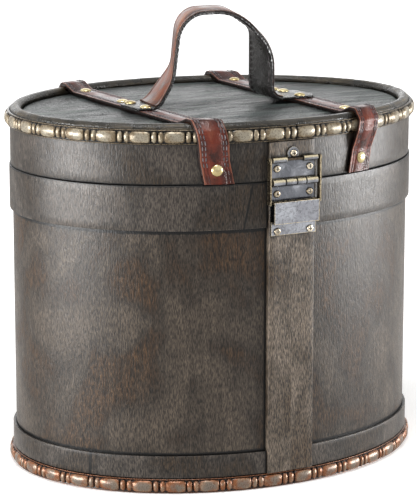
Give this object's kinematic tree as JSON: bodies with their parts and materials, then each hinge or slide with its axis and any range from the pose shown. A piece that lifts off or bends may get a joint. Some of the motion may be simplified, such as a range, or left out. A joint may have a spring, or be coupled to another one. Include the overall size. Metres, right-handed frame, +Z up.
{
  "type": "collar box",
  "caption": "Oval bentwood box with a hinged leather-topped lid, trim rings, straps and a leather strap handle on top.",
  "frame": {"origin": "middle of the rest face under the bottom board", "axes": "+Z up, +X along the long axis of the oval, -Y towards the hinge side"},
  "size_m": [0.3164, 0.2564, 0.3312],
  "materials": {
    "stained_wood": "dark stained, rubbed bentwood",
    "trim_antique_gold": "antique gold over dark moulding",
    "trim_rust": "rust stained moulding",
    "lid_leather": "dark green-grey, glazed",
    "strap_leather": "red-brown, waxed, stitched",
    "handle_leather": "near-black, stitched",
    "rivet_brass": "polished",
    "antique_bronze": "darkened, worn gold at edges",
    "screw_brass": "antique brass"
  },
  "bodies": {
    "root": {"bottom_board": "stained_wood", "body_wall": "stained_wood", "middle_band": "stained_wood", "base_band": "stained_wood", "body_batten": "stained_wood", "base_trim": "trim_rust", "lower_leaf": "antique_bronze", "stay_pocket": "antique_bronze", "barrel_pin": "antique_bronze", "hinge_screws_body": "screw_brass", "latch_plate": "antique_bronze", "latch_pivot": "antique_bronze", "latch_screws_body": "screw_brass"},
    "lid": {"lid_wall": "stained_wood", "lid_board": "stained_wood", "lid_panel": "lid_leather", "rim_roll": "lid_leather", "top_trim": "trim_antique_gold", "lid_batten": "stained_wood", "strap_left": "strap_leather", "strap_right": "strap_leather", "strap_rivets": "rivet_brass", "handle_tab_left": "handle_leather", "handle_tab_right": "handle_leather", "tab_rivets": "rivet_brass", "upper_leaf": "antique_bronze", "stay_pin": "antique_bronze", "hinge_screws_lid": "screw_brass", "latch_keeper": "antique_bronze", "latch_screws_lid": "screw_brass"},
    "handle": {"handle_lining": "handle_leather", "handle_cover": "strap_leather"},
    "stay": {"stay_frame": "antique_bronze"},
    "hook": {"latch_hook": "antique_bronze"}
  },
  "joints": [
    {"name": "lid_hinge", "type": "hinge", "parent": "root", "child": "lid", "pos_m": [-0.0042, -0.1261, 0.2207], "axis": [1, 0, 0], "range_deg": [0, 90]},
    {"name": "stay_swing", "type": "hinge", "parent": "lid", "child": "stay", "pos_m": [-0.0042, -0.1261, 0.2366], "axis": [1, 0, 0], "range_deg": [-59.4, 0]},
    {"name": "handle_lean", "type": "hinge", "parent": "lid", "child": "handle", "pos_m": [-0.003, -0.0125, 0.2638], "axis": [1, 0, 0], "range_deg": [-25, 25]},
    {"name": "latch_swing", "type": "hinge", "parent": "root", "child": "hook", "pos_m": [0, 0.1243, 0.2077], "axis": [0, 1, 0], "range_deg": [0, 180]}
  ],
  "couplings": [
    {"joint": "stay_swing", "follows": "lid_hinge", "ratio": -0.66}
  ]
}
